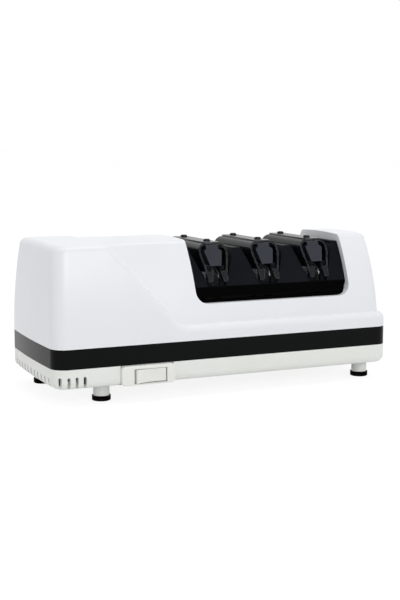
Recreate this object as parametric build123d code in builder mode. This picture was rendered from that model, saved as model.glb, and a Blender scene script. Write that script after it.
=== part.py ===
from build123d import *
from math import cos, radians, sin, sqrt
import os

# Electric knife sharpener with three sharpening stages.
# Millimetres. +X runs to the right along the length, -Y is the front, +Z is up.
# The origin is on the table, under the middle of the body.

# Driving dimensions of the body
LENGTH = 254.0
DEPTH = 105.0
CROWN = 105.0
WALL = 3.0
FLOOR = 2.5
CORNER_R = 10.0
END_BOW = 1.8

# Heights of the layers, from the table up
FOOT_H = 3.5
POST_H = 8.2
BASE_H = 13.5
BAND_H = 13.15
LEDGE_H = 10.45
BASE_BOTTOM = FOOT_H + POST_H
BASE_FLOOR = BASE_BOTTOM + FLOOR
BASE_TOP = BASE_BOTTOM + BASE_H
BAND_TOP = BASE_TOP + BAND_H
LEDGE_Z = BAND_TOP + LEDGE_H

# How far the walls lean in between the band and the lean height
LEAN_TOP = CROWN - 5.0
END_LEAN = 3.6
SIDE_LEAN = 8.0
CROWN_DROP = 1.2
ABOVE = CROWN + 30.0

# The step that runs down the front and the rear of the body, in side view
STEP_TOP_X = -82.2
STEP_FOOT_X = -37.2
STEP_TOP_Z = CROWN - 4.8
STEP_BEND_R = 15.0
SHOULDER_R = 5.0

# The stage section: its long faces are arcs that lean back
STAGE_FOOT_Y = DEPTH / 2 - 5.0
STAGE_LEAN = 8.5
STAGE_R = 140.0
STAGE_CROWN = CROWN - 0.4
STAGE_CROWN_R = 390.0
STAGE_LEFT = -95.0
STAGE_RIGHT = LENGTH / 2 - 4.7
STAGE_CORNER_R = 8.0
STAGE_RIM_R = 5.0

# The well that crosses the stage section, open at the top
WELL_LEFT_TOP = -25.3
WELL_LEFT_FOOT = -22.6
WELL_RIGHT = 97.2
WELL_Z = 61.5
WELL_R = 8.5
COLLAR = 2.0

# Shaft and stages
SHAFT_Y = -10.0
SHAFT_Z = 56.5
SHAFT_R = 4.0
STAGE_PITCH = 39.7
FIRST_STAGE = -4.5
STAGES = [FIRST_STAGE + STAGE_PITCH * i for i in range(3)]

# Clearances
SEAT = 0.1
RUN = 0.03
MOVE = 0.4

# Well liner: slanted guide faces either side of each stage
LINER_SETBACK = 4.0
LINER_TOP = 97.3
LINER_SIDE_TOP = 99.0
CHANNEL_Z = 72.0
CHANNEL_HALF = 6.8
CHANNEL_SLOPE = 0.396
LINER_WALL = 2.2
COVE_R = 5.0

# Grinding discs
DISC_R = 27.5
DISC_RIM_X = 7.5
DISC_T = 1.5
DISC_TRAVEL = 1.5
HUB_R = 9.0
HUB_BOSS_R = 7.2
HUB_INNER_X = 2.9
HUB_OUTER_X = 8.0
DISC_SEAT_X = HUB_INNER_X + 1.5

# Guides over each stage
ARCH_HALF = 10.6
ARCH_FOOT_HALF = 8.0
ARCH_FOOT_Z = 82.0
ARCH_SHOULDER_Z = 93.5
ARCH_TOP = 100.9
ARCH_WALL = 1.2
CORE_HALF = 6.6
CORE_FOOT_HALF = 4.1
CORE_FOOT_Z = 86.0
CORE_NECK_HALF = 4.3
CORE_SHOULDER_Z = 97.2
GUIDE_INSET = 1.0
PLATE_T = 1.0
PLATE_HALF_X = 5.6
PLATE_HALF_Y = 28.0
SCREW_Y = 20.0
POST_X = 4.7
GUIDE_POST_T = 2.2

# Motor
STACK_HALF = 27.0
STACK_LEFT = -105.0
STACK_L = 28.0
ROTOR_R = 15.2
AIR_GAP = 0.8
BOLT_Y = 22.0
BRACKET_L = 8.0
STRAP_T = 2.0
BUSH_R = 6.0
FAN_R = 21.0

# Switch
BEZEL_X = -62.15
BEZEL_L = 37.5
BEZEL_PROUD = 3.0
BEZEL_BACK = 4.5
ROCKER_X = -60.75
ROCKER_Z = 17.8
ROCKER_HALF = 10.9
ROCKER_H = 9.0
ROCKER_PROUD = 0.5
ROCKER_TILT = 7.0
ROCKER_PIVOT_Y = -DEPTH / 2 + 0.5

# Feet and screws
FOOT_R = 6.3
POST_R = 5.5
FEET = [(-88.5, -35.25), (-108.2, 35.25), (111.8, -35.25), (111.8, 35.25)]
BOSS_R = 4.0
BOSS_Z = BASE_FLOOR + 2.8
BOSSES = [(-112.0, -42.5), (-112.0, 42.5), (100.0, -40.0), (100.0, 40.0)]

# Clean-out port and its sliding cover
PORT_X = 62.0
PORT = 24.0
COVER_L = 32.0
COVER_W = 34.0
COVER_T = 2.0
COVER_TRAVEL = 28.0
COVER_GAP = 0.3
RAIL_W = 2.2
RAIL_LIP = 2.0
RAIL_LIP_T = 1.1

# Dressing lever at the rear of the last stage
LEVER_Y = 33.0
LEVER_Z = 52.0
LEVER_T = 5.0
LEVER_PIN_R = 3.0
FORK_HALF = 12.8
FORK_REACH = 31.0
TAB_HALF = 4.0
LEVER_SWING = 8.0


def arc_radius(rise, run):
    """Radius of the arc that starts upright and moves in by run over rise."""
    return (rise**2 + run**2) / (2 * run)


def arc_run(radius, rise):
    """How far such an arc has moved in after rise."""
    return radius - sqrt(radius**2 - rise**2)


def stage_half(z, inset=0.0):
    """Half of the stage section's depth at height z."""
    centre_y = STAGE_R * cos(radians(STAGE_LEAN)) - STAGE_FOOT_Y
    centre_z = LEDGE_Z - STAGE_R * sin(radians(STAGE_LEAN))
    return sqrt((STAGE_R - inset) ** 2 - (z - centre_z) ** 2) - centre_y


def face_x(z):
    """Distance of a slanted guide face from the middle of its stage at height z."""
    return CHANNEL_HALF + CHANNEL_SLOPE * (z - CHANNEL_Z)


def plan(inset):
    """Outline of the body from above: a rectangle with bowed ends and round corners."""
    half_x = LENGTH / 2 - inset
    half_y = DEPTH / 2 - inset
    bow = arc_radius(DEPTH / 2, END_BOW)
    corner_x = half_x - arc_run(bow, half_y)
    with BuildSketch() as outline:
        with BuildLine():
            front = Line((-corner_x, -half_y), (corner_x, -half_y))
            right = ThreePointArc(front @ 1, (half_x, 0), (corner_x, half_y))
            rear = Line(right @ 1, (-corner_x, half_y))
            ThreePointArc(rear @ 1, (-half_x, 0), front @ 0)
        make_face()
        fillet(outline.vertices(), CORNER_R - inset)
    return outline.sketch


def end_faces(inset):
    """All that lies between the two end faces, which are bowed and lean in."""
    bow = arc_radius(DEPTH / 2, END_BOW)
    pivot = LENGTH / 2 - inset - bow
    turn = 8.0
    run = arc_run(arc_radius(LEAN_TOP - BAND_TOP, END_LEAN), ABOVE - BAND_TOP)
    blade = Plane(
        origin=(pivot, 0, 0),
        x_dir=Vector(1, 0, 0).rotate(Axis.Z, -turn),
        z_dir=Vector(0, -1, 0).rotate(Axis.Z, -turn),
    )
    with BuildPart() as between:
        with BuildSketch(blade):
            with BuildLine():
                upright = Line((bow, -1), (bow, BAND_TOP))
                lean = TangentArc(upright @ 1, (bow - run, ABOVE), tangent=(0, 1))
                Polyline(lean @ 1, (0, ABOVE), (0, -1), upright @ 0)
            make_face()
        revolve(axis=Axis((pivot, 0, 0), (0, 0, 1)), revolution_arc=2 * turn)
        mirror(about=Plane.YZ, mode=Mode.INTERSECT)
    return between.part


def step_outline(inset, bottom):
    """Side view of the motor block and the ledge, joined by the slanted step."""
    top = Vector(STEP_TOP_X, STEP_TOP_Z)
    along = (Vector(STEP_FOOT_X, LEDGE_Z) - top).normalized()
    inward = Vector(along.Y, -along.X)
    start = top + inward * inset
    ledge = LEDGE_Z - inset
    foot = start + along * ((ledge - start.Y) / along.Y)
    crest = start + along * ((ABOVE - start.Y) / along.Y)
    with BuildSketch(Plane.XZ) as outline:
        with BuildLine():
            Polyline(
                (-LENGTH, bottom),
                (-LENGTH, ABOVE),
                (crest.X, crest.Y),
                (foot.X, foot.Y),
                (LENGTH, ledge),
                (LENGTH, bottom),
                close=True,
            )
        make_face()
        bend = outline.vertices().sort_by_distance((foot.X, foot.Y, 0))[0]
        fillet(bend, STEP_BEND_R + inset)
    return outline.sketch


def block_form(inset, bottom):
    """Motor block and ledge as one rounded form, every face moved in by inset."""
    half_y = DEPTH / 2 - inset
    run = arc_run(arc_radius(LEAN_TOP - BAND_TOP, SIDE_LEAN), ABOVE - BAND_TOP)
    crown_r = arc_radius(DEPTH / 2 - SIDE_LEAN - 2.5, CROWN_DROP)
    with BuildPart() as form:
        add(extrude(step_outline(inset, bottom), amount=DEPTH, both=True, mode=Mode.PRIVATE))
        with BuildSketch(Plane.YZ):
            with BuildLine():
                front = Line((-half_y, -1), (-half_y, BAND_TOP))
                TangentArc(front @ 1, (-half_y + run, ABOVE), tangent=(0, 1))
                Line((-half_y + run, ABOVE), (half_y - run, ABOVE))
                TangentArc((half_y, BAND_TOP), (half_y - run, ABOVE), tangent=(0, 1))
                Polyline((half_y, BAND_TOP), (half_y, -1), (-half_y, -1))
            make_face()
            with Locations((0, CROWN - inset - crown_r)):
                Circle(crown_r, mode=Mode.INTERSECT)
        extrude(amount=LENGTH, both=True, mode=Mode.INTERSECT)
        add(end_faces(inset), mode=Mode.INTERSECT)
        corner_x = LENGTH / 2 - END_LEAN - CORNER_R
        rising = form.edges().filter_by(lambda e: abs((e @ 0).Z - (e @ 1).Z) > 5)
        fillet(rising.filter_by(lambda e: abs(e.center().X) > corner_x), CORNER_R - inset)
        upper = form.edges().filter_by(lambda e: e.center().Z > BAND_TOP + 1)
        upper = upper.filter_by(lambda e: abs((e @ 0).Z - (e @ 1).Z) < 5 or e.center().X > -100)
        bend_edges = upper.filter_by(lambda e: abs(e.center().Y) < 1 and -75 < e.center().X < 100)
        rim = [edge for edge in upper if edge not in bend_edges]
        fillet(rim, max(SHOULDER_R - inset, 1.0))
    return form.part


def stage_form(inset, bottom):
    """Stage section: arcs that lean back to a narrow crown, square at the right."""
    centre_y = STAGE_R * cos(radians(STAGE_LEAN)) - STAGE_FOOT_Y
    centre_z = LEDGE_Z - STAGE_R * sin(radians(STAGE_LEAN))
    with BuildPart() as form:
        with BuildSketch(Plane.YZ.offset(STAGE_LEFT)):
            with Locations((centre_y, centre_z)):
                Circle(STAGE_R - inset)
            with Locations((-centre_y, centre_z)):
                Circle(STAGE_R - inset, mode=Mode.INTERSECT)
            with Locations((0, STAGE_CROWN - inset - STAGE_CROWN_R)):
                Circle(STAGE_CROWN_R, mode=Mode.INTERSECT)
            with Locations((0, bottom)):
                Rectangle(DEPTH, ABOVE, align=(Align.CENTER, Align.MIN), mode=Mode.INTERSECT)
        extrude(amount=STAGE_RIGHT - inset - STAGE_LEFT)
        right = form.faces().sort_by(Axis.X)[-1]
        upright = right.edges().filter_by(lambda e: abs((e @ 0).Z - (e @ 1).Z) > 5)
        fillet(upright, STAGE_CORNER_R - inset)
        upper = form.edges().filter_by(lambda e: e.center().Z > stage_rim_z() - inset - 6)
        rim = upper.filter_by(lambda e: e.center().X > STAGE_LEFT + 1)
        fillet(rim, max(STAGE_RIM_R - inset, 1.0))
    return form.part


def stage_rim_z():
    """Height at which the leaning faces of the stage section meet its crown."""
    return STAGE_CROWN - 1.2


def housing_form(inset, bottom):
    """The whole outer form above the band, every face moved in by inset."""
    with BuildPart() as form:
        add(block_form(inset, bottom))
        add(stage_form(inset, bottom))
    return form.part


def well_outline(grow):
    """Side view of the well, wider than its real edge by grow."""
    with BuildSketch(Plane.XZ) as outline:
        with BuildLine():
            Polyline(
                (WELL_LEFT_TOP - grow, ABOVE),
                (WELL_LEFT_FOOT - grow, WELL_Z - grow),
                (WELL_RIGHT + grow, WELL_Z - grow),
                (WELL_RIGHT + grow, ABOVE),
                close=True,
            )
        make_face()
        fillet(outline.vertices().group_by(Axis.Y)[0], WELL_R + grow)
    return outline.sketch


def make_upper_housing():
    """White shell: motor block, step, ledge and stage section, with the well cut out."""
    inner_bottom = BAND_TOP - 1
    with BuildPart() as upper_housing:
        add(housing_form(0, BAND_TOP))
        add(housing_form(WALL, inner_bottom), mode=Mode.SUBTRACT)
        # Collar that turns in around the well and closes the shell beside it
        with BuildPart(mode=Mode.PRIVATE) as collar:
            add(extrude(well_outline(COLLAR), amount=DEPTH, both=True, mode=Mode.PRIVATE))
            add(stage_form(WALL / 2, BAND_TOP), mode=Mode.INTERSECT)
            with Locations((0, 0, WELL_Z + 4.5)):
                Box(LENGTH, 2 * seat_y(), DEPTH, align=(Align.CENTER, Align.CENTER, Align.MAX),
                    mode=Mode.SUBTRACT)
        add(collar.part)
        # Screw bosses that stand on the base
        with BuildPart(mode=Mode.PRIVATE) as bosses:
            with BuildSketch(Plane.XY.offset(BOSS_Z)):
                with Locations(BOSSES):
                    Circle(BOSS_R)
            extrude(amount=CROWN - BOSS_Z)
            add(housing_form(WALL / 2, 0), mode=Mode.INTERSECT)
        add(bosses.part)
        with BuildSketch(Plane.XY.offset(BOSS_Z)):
            with Locations(BOSSES):
                Circle(1.6)
        extrude(amount=14, mode=Mode.SUBTRACT)
        add(extrude(well_outline(0), amount=DEPTH, both=True, mode=Mode.PRIVATE), mode=Mode.SUBTRACT)
        # Slot for the dressing lever
        with Locations((STAGES[2], stage_half(LEVER_Z), LEVER_Z + LEVER_T / 2)):
            Box(2 * slot_half(), 12, LEVER_T + 4 * MOVE, mode=Mode.SUBTRACT)
    return upper_housing


def seat_y():
    """Half depth of the opening under the well, inside the lips that carry the liner."""
    return stage_half(WELL_Z) - LINER_SETBACK - 2.4


def slot_half():
    """Half width of the slot that lets the lever's tab swing."""
    reach = stage_half(LEVER_Z) - LEVER_Y
    return TAB_HALF + reach * sin(radians(LEVER_SWING)) + 2 * MOVE


def make_trim_band():
    """Glossy band between housing and base, with a tongue inside the housing."""
    with BuildPart() as trim_band:
        with BuildSketch(Plane.XY.offset(BASE_TOP)):
            add(plan(0))
            add(plan(WALL), mode=Mode.SUBTRACT)
        extrude(amount=BAND_H)
        with BuildSketch(Plane.XY.offset(BAND_TOP - 3)):
            add(plan(WALL - 0.5))
            add(plan(WALL + 1.8), mode=Mode.SUBTRACT)
        extrude(amount=3)
        with BuildSketch(Plane.XY.offset(BAND_TOP)):
            add(plan(WALL + SEAT))
            add(plan(WALL + 1.8), mode=Mode.SUBTRACT)
        extrude(amount=2.6)
    return trim_band


def make_base_tray():
    """Off-white base: round lower edge, vents, posts, cradle, cups and clean-out rails."""
    with BuildPart() as base_tray:
        with BuildSketch(Plane.XY.offset(BASE_BOTTOM)):
            add(plan(0))
        extrude(amount=BASE_H)
        fillet(base_tray.faces().sort_by(Axis.Z)[0].edges(), SHOULDER_R)
        with BuildSketch(Plane.XY.offset(BASE_FLOOR)):
            add(plan(WALL))
        extrude(amount=BASE_H, mode=Mode.SUBTRACT)
        # Tongue that rises inside the band
        with BuildSketch(Plane.XY.offset(BASE_TOP - 4)):
            add(plan(WALL - 0.5))
            add(plan(WALL + 1.8), mode=Mode.SUBTRACT)
        extrude(amount=4)
        with BuildSketch(Plane.XY.offset(BASE_TOP)):
            add(plan(WALL + SEAT))
            add(plan(WALL + 1.8), mode=Mode.SUBTRACT)
        extrude(amount=2.6)
        # Foot posts
        with BuildSketch(Plane.XY.offset(FOOT_H)):
            with Locations(FEET):
                Circle(POST_R)
        extrude(amount=POST_H + FLOOR / 2)
        with BuildSketch(Plane.XY.offset(FOOT_H)):
            with Locations(FEET):
                Circle(3.1)
        extrude(amount=3, mode=Mode.SUBTRACT)
        # Cups that carry the housing's bosses and hide the screw heads
        with BuildSketch(Plane.XY.offset(BASE_FLOOR)):
            with Locations(BOSSES):
                Circle(BOSS_R + 2)
        extrude(amount=BOSS_Z - BASE_FLOOR)
        with Locations([(x, y, BASE_BOTTOM) for x, y in BOSSES]):
            Cylinder(4.0, 3, align=(Align.CENTER, Align.CENTER, Align.MIN), mode=Mode.SUBTRACT)
            Cylinder(1.8, 8, align=(Align.CENTER, Align.CENTER, Align.MIN), mode=Mode.SUBTRACT)
        # Cradle ribs under the motor
        for x in (STACK_LEFT + 4, STACK_LEFT + STACK_L - 4):
            with Locations((x, SHAFT_Y, BASE_FLOOR)):
                Box(3, 40, SHAFT_Z - STACK_HALF - BASE_FLOOR, align=(Align.CENTER, Align.CENTER, Align.MIN))
        # Pin that carries the dressing lever
        with Locations((STAGES[2], LEVER_Y, BASE_FLOOR)):
            Cylinder(5, LEVER_Z - MOVE - BASE_FLOOR, align=(Align.CENTER, Align.CENTER, Align.MIN))
            Cylinder(LEVER_PIN_R, LEVER_Z + LEVER_T + MOVE - BASE_FLOOR,
                     align=(Align.CENTER, Align.CENTER, Align.MIN))
            with Locations((0, 0, LEVER_Z - 8 - BASE_FLOOR)):
                Cylinder(1.3, 20, align=(Align.CENTER, Align.CENTER, Align.MIN), mode=Mode.SUBTRACT)
        add(vent_slots(), mode=Mode.SUBTRACT)
        # Opening for the switch and hole for the cord inlet
        with Locations((BEZEL_X, -DEPTH / 2, (BASE_BOTTOM + BASE_TOP) / 2)):
            Box(BEZEL_L + 2 * SEAT, 2 * (BEZEL_BACK + 1), BASE_H - 0.2, mode=Mode.SUBTRACT)
        with Locations(Plane(origin=(GLAND_X, DEPTH / 2, GLAND_Z), z_dir=(0, 1, 0))):
            Cylinder(GLAND_R + SEAT, 4 * WALL, mode=Mode.SUBTRACT)
        # Clean-out port with rails that carry its cover
        with Locations((PORT_X, 0, BASE_BOTTOM)):
            Box(PORT, PORT, 4 * FLOOR, mode=Mode.SUBTRACT)
        add(cover_rails())
    return base_tray


GLAND_X = -100.0
GLAND_Z = BASE_BOTTOM + 7.3
GLAND_R = 3.9


def vent_slots():
    """Cutters for the slots low in the front-left corner and along the left end."""
    slot_w = 2.1
    slot_low = BASE_BOTTOM + 2
    slot_high = BASE_TOP - 5.2
    with BuildPart() as slots:
        with BuildSketch(Plane.XZ.offset(DEPTH / 2 - 5.6)):
            with Locations([(-121.6 + 5.45 * i, slot_low) for i in range(4)]):
                SlotCenterToCenter(2 * (slot_high - slot_low) - slot_w, slot_w, rotation=90)
        extrude(amount=10)
        with BuildSketch(Plane.YZ.offset(-LENGTH / 2 + 5.0)):
            with Locations([(-40.0 + 7.6 * i, slot_low) for i in range(11)]):
                SlotCenterToCenter(2 * (slot_high - 1 - slot_low) - slot_w, slot_w, rotation=90)
        extrude(amount=-10)
    return slots.part


def cover_rails():
    """Two L-shaped rails under the floor and a stop at their right end."""
    low = BASE_BOTTOM - COVER_T - 2 * COVER_GAP - RAIL_LIP_T
    right = PORT_X + COVER_L / 2 + MOVE
    left = PORT_X - COVER_L / 2 - COVER_TRAVEL - 4
    half = COVER_W / 2 + MOVE
    with BuildPart() as rails:
        with BuildSketch(Plane.YZ.offset(left)):
            with BuildLine():
                Polyline(
                    (half - RAIL_LIP, low),
                    (half + RAIL_W, low),
                    (half + RAIL_W, BASE_BOTTOM + 0.5),
                    (half, BASE_BOTTOM + 0.5),
                    (half, low + RAIL_LIP_T),
                    (half - RAIL_LIP, low + RAIL_LIP_T),
                    close=True,
                )
            make_face()
            mirror(about=Plane.YZ)
        extrude(amount=right - left)
        with Locations((right + 1, 0, low)):
            Box(2, 2 * (half + RAIL_W), BASE_BOTTOM + 0.5 - low, align=(Align.CENTER, Align.CENTER, Align.MIN))
    return rails.part


def make_cleanout_cover():
    """Sliding cover of the clean-out port, with grip ridges."""
    top = BASE_BOTTOM - COVER_GAP
    with BuildPart() as cleanout_cover:
        with BuildSketch(Plane.XY.offset(top - COVER_T)):
            with Locations((PORT_X, 0)):
                Rectangle(COVER_L, COVER_W)
        extrude(amount=COVER_T)
        for i in range(4):
            with Locations((PORT_X - COVER_L / 2 + 4 + 3 * i, 0, top - COVER_T)):
                Box(1.2, COVER_W / 2, 0.8, align=(Align.CENTER, Align.CENTER, Align.MAX))
    return cleanout_cover


def make_cleanout_magnet():
    """Bar magnet on the base floor that holds the steel dust."""
    with BuildPart() as cleanout_magnet:
        with BuildSketch(Plane.XY.offset(BASE_FLOOR)):
            with Locations((PORT_X - PORT / 2 - 14, 0)):
                RectangleRounded(18, 10, 1.5)
        extrude(amount=3)
    return cleanout_magnet


def make_rubber_feet():
    """Four round feet, each with a plug in its post."""
    with BuildPart() as rubber_feet:
        with BuildSketch():
            with Locations(FEET):
                Circle(FOOT_R)
        extrude(amount=FOOT_H)
        fillet(rubber_feet.faces().sort_by(Axis.Z)[:4].edges(), 0.8)
        with BuildSketch(Plane.XY.offset(FOOT_H)):
            with Locations(FEET):
                Circle(3.0)
        extrude(amount=2.8)
    return rubber_feet


def make_housing_screws():
    """Four screws that pull the base up to the housing's bosses."""
    with BuildPart() as housing_screws:
        for x, y in BOSSES:
            with Locations((x, y, BASE_BOTTOM + 0.6)):
                Cylinder(3.5, 2.4, align=(Align.CENTER, Align.CENTER, Align.MIN))
                Cylinder(1.5, 17, align=(Align.CENTER, Align.CENTER, Align.MIN))
    return housing_screws


def make_well_liner():
    """Black insert in the well: dividers with slanted guide faces, cove and disc slots."""
    right_face = STAGES[2] + face_x(LINER_SIDE_TOP)
    left_face = STAGES[0] - face_x(LINER_SIDE_TOP)
    half_at = stage_half(CHANNEL_Z - 3.8) - LINER_SETBACK
    with BuildPart() as well_liner:
        add(extrude(well_outline(-SEAT), amount=DEPTH, both=True, mode=Mode.PRIVATE))
        add(stage_form(LINER_SETBACK, BAND_TOP), mode=Mode.INTERSECT)
        with Locations((0, 0, LINER_SIDE_TOP)):
            Box(2 * LENGTH, 2 * DEPTH, CROWN, align=(Align.CENTER, Align.CENTER, Align.MIN),
                mode=Mode.SUBTRACT)
        # Channels between the slanted guide faces
        for x in STAGES:
            with BuildSketch(Plane.XZ):
                with BuildLine():
                    Polyline(
                        (x - CHANNEL_HALF, CHANNEL_Z),
                        (x + CHANNEL_HALF, CHANNEL_Z),
                        (x + face_x(CROWN), CROWN),
                        (x - face_x(CROWN), CROWN),
                        close=True,
                    )
                make_face()
            extrude(amount=DEPTH, both=True, mode=Mode.SUBTRACT)
        with Locations(((left_face + right_face) / 2, 0, LINER_TOP)):
            Box(right_face - left_face, DEPTH, CROWN, align=(Align.CENTER, Align.CENTER, Align.MIN),
                mode=Mode.SUBTRACT)
        # Hollows under the dividers and the side wedges, open below
        with BuildPart(mode=Mode.PRIVATE) as hollows:
            for left, right in zip(STAGES, STAGES[1:]):
                add(hollow(wall_line(left, 1, LINER_TOP - 9), wall_line(right, -1, LINER_TOP - 9)))
            side_top = LINER_TOP - 13
            left_wall = WELL_LEFT_FOOT + LINER_WALL
            right_wall = WELL_RIGHT - LINER_WALL
            add(hollow([(left_wall, BAND_TOP), (left_wall, side_top)], wall_line(STAGES[0], -1, side_top)))
            add(hollow(wall_line(STAGES[2], 1, side_top), [(right_wall, BAND_TOP), (right_wall, side_top)]))
            add(stage_form(LINER_SETBACK + LINER_WALL, BAND_TOP), mode=Mode.INTERSECT)
            Box(LENGTH, 2 * (seat_y() - LINER_WALL - 2), 3 * CROWN, mode=Mode.INTERSECT)
        add(hollows.part, mode=Mode.SUBTRACT)
        # Slots that let the discs through
        with Locations([Plane(origin=(x, SHAFT_Y, SHAFT_Z), z_dir=(1, 0, 0)) for x in STAGES]):
            Cylinder(DISC_R + 2 * MOVE, 2 * slot_reach(), mode=Mode.SUBTRACT)
        # Cove under the dividers, front and rear
        with BuildSketch(Plane.YZ.offset(-LENGTH / 2)):
            with Locations((-half_at - 3, CHANNEL_Z - 3.8), (half_at + 3, CHANNEL_Z - 3.8)):
                Circle(COVE_R)
        extrude(amount=LENGTH, mode=Mode.SUBTRACT)
        # Posts that carry the guide cores, two at the front and two at the rear of each stage
        for x in STAGES:
            with BuildSketch(Plane.XY.offset(CHANNEL_Z - 0.4)):
                with Locations((x, 0)):
                    with GridLocations(2 * POST_X, 2 * post_y(), 2, 2):
                        Rectangle(3.0, GUIDE_POST_T)
            extrude(amount=CORE_FOOT_Z - CHANNEL_Z + 0.4)
    return well_liner


def post_y():
    """Distance of the posts from the middle, just inside the ends of the cores."""
    return stage_half(CORE_FOOT_Z) - GUIDE_INSET - GUIDE_POST_T / 2


def slot_reach():
    """Half width of a disc slot, clear of the disc and its stop."""
    return HUB_OUTER_X + DISC_TRAVEL


def wall_line(stage, side, top):
    """Inner side of the wall beside a stage: upright past the disc slot, then slanted."""
    reach = slot_reach() + LINER_WALL
    bend = CHANNEL_Z + (slot_reach() - CHANNEL_HALF) / CHANNEL_SLOPE
    lean = face_x(top) + LINER_WALL
    return [(stage + side * reach, BAND_TOP), (stage + side * reach, bend), (stage + side * lean, top)]


def hollow(left_line, right_line):
    """Hollow under a divider or wedge, between two lines that run upward."""
    with BuildPart() as space:
        with BuildSketch(Plane.XZ):
            with BuildLine():
                Polyline(left_line + right_line[::-1], close=True)
            make_face()
        extrude(amount=DEPTH, both=True)
    return space.part


def guide_bounds():
    """The space that the front and rear ends of the guides are cut to."""
    return stage_form(GUIDE_INSET, BAND_TOP)


def make_guide_core(x):
    """Keystone bar that the knife guides hang on."""
    with BuildPart() as guide_core:
        with BuildSketch(Plane.XZ) as profile:
            with BuildLine():
                Polyline(
                    (x - CORE_FOOT_HALF, CORE_FOOT_Z),
                    (x - CORE_HALF, CORE_SHOULDER_Z - 1.2),
                    (x - CORE_NECK_HALF, CORE_SHOULDER_Z),
                    (x - CORE_NECK_HALF, ARCH_TOP - ARCH_WALL),
                    (x + CORE_NECK_HALF, ARCH_TOP - ARCH_WALL),
                    (x + CORE_NECK_HALF, CORE_SHOULDER_Z),
                    (x + CORE_HALF, CORE_SHOULDER_Z - 1.2),
                    (x + CORE_FOOT_HALF, CORE_FOOT_Z),
                    close=True,
                )
            make_face()
            wide = profile.vertices().group_by(Axis.Y)[1]
            fillet(wide, 1.2)
        extrude(amount=DEPTH / 2, both=True)
        add(guide_bounds(), mode=Mode.INTERSECT)
        with Locations([(x, y, ARCH_TOP) for y in (-SCREW_Y, SCREW_Y)]):
            Cylinder(1.3, 16, mode=Mode.SUBTRACT)
    return guide_core


def arch_outline(x, inset):
    """End view of the inverted U, made thinner by inset."""
    half = ARCH_HALF - inset
    foot = ARCH_FOOT_HALF - inset
    with BuildSketch(Plane.XZ) as outline:
        with BuildLine():
            Polyline(
                (x - foot, ARCH_FOOT_Z),
                (x - half, ARCH_SHOULDER_Z),
                (x - half, ARCH_TOP - inset),
                (x + half, ARCH_TOP - inset),
                (x + half, ARCH_SHOULDER_Z),
                (x + foot, ARCH_FOOT_Z),
                close=True,
            )
        make_face()
        levels = outline.vertices().group_by(Axis.Y)
        fillet(levels[1], 6.0)
        fillet(outline.vertices().group_by(Axis.Y)[-1], 5.0 - inset)
    return outline.sketch


def make_guide_spring(x):
    """Springy inverted U that presses the knife to the slanted faces."""
    with BuildPart() as guide_spring:
        add(extrude(arch_outline(x, 0), amount=DEPTH / 2, both=True, mode=Mode.PRIVATE))
        add(extrude(arch_outline(x, ARCH_WALL), amount=DEPTH / 2, both=True, mode=Mode.PRIVATE),
            mode=Mode.SUBTRACT)
        # Foot pads at the front and rear ends of both legs
        with BuildPart(mode=Mode.PRIVATE) as pads:
            for side in (-1, 1):
                with BuildSketch(Plane.XZ):
                    with BuildLine():
                        Polyline(
                            (x + side * (ARCH_FOOT_HALF - 5.3), ARCH_FOOT_Z + 0.4),
                            (x + side * ARCH_FOOT_HALF, ARCH_FOOT_Z + 0.4),
                            (x + side * (ARCH_FOOT_HALF - 0.7), ARCH_FOOT_Z - 6.5),
                            (x + side * (ARCH_FOOT_HALF - 3.6), ARCH_FOOT_Z - 6.5),
                            close=True,
                        )
                    make_face()
                extrude(amount=DEPTH / 2, both=True)
            Box(2 * LENGTH, 2 * pad_inner_y(), 3 * CROWN, mode=Mode.SUBTRACT)
        add(pads.part)
        add(guide_bounds(), mode=Mode.INTERSECT)
        with Locations(Plane(origin=(x, SHAFT_Y, SHAFT_Z), z_dir=(1, 0, 0))):
            Cylinder(DISC_R + 2, 4 * ARCH_HALF, mode=Mode.SUBTRACT)
        with Locations([(x, y, ARCH_TOP) for y in (-SCREW_Y, SCREW_Y)]):
            Cylinder(1.6, 6, mode=Mode.SUBTRACT)
    return guide_spring


def pad_inner_y():
    """Inner ends of the foot pads, just outside the posts."""
    return post_y() + GUIDE_POST_T / 2 + 0.2


def make_guide_plate(x):
    """Thin plate that clamps the inverted U to its bar."""
    with BuildPart() as guide_plate:
        with BuildSketch(Plane.XY.offset(ARCH_TOP)):
            with Locations((x, 0)):
                RectangleRounded(2 * PLATE_HALF_X, 2 * PLATE_HALF_Y, 1.0)
            with Locations((x, -SCREW_Y), (x, SCREW_Y)):
                Circle(1.5, mode=Mode.SUBTRACT)
        extrude(amount=PLATE_T)
    return guide_plate


def make_guide_screws():
    """Domed screws, two to a plate."""
    head = ARCH_TOP + PLATE_T
    with BuildPart() as guide_screws:
        for x in STAGES:
            for y in (-SCREW_Y, SCREW_Y):
                with BuildSketch(Plane.XY.offset(head)):
                    with Locations((x, y)):
                        Circle(2.5)
                extrude(amount=1.6)
                with Locations((x, y, head)):
                    Cylinder(1.2, 9, align=(Align.CENTER, Align.CENTER, Align.MAX))
        crowns = guide_screws.faces().filter_by(Axis.Z).group_by(Axis.Z)[-1].edges()
        fillet(crowns, 1.3)
    return guide_screws


def shaft_plane(x):
    """Plane across the shaft at x, its local Y pointing up."""
    return Plane(origin=(x, SHAFT_Y, SHAFT_Z), x_dir=(0, 1, 0), z_dir=(1, 0, 0))


def tube(x_start, x_end, outer, inner):
    """Sleeve around the shaft axis."""
    with BuildPart() as sleeve:
        with BuildSketch(shaft_plane(x_start)):
            Circle(outer)
            if inner:
                Circle(inner, mode=Mode.SUBTRACT)
        extrude(amount=x_end - x_start)
    return sleeve.part


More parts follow.
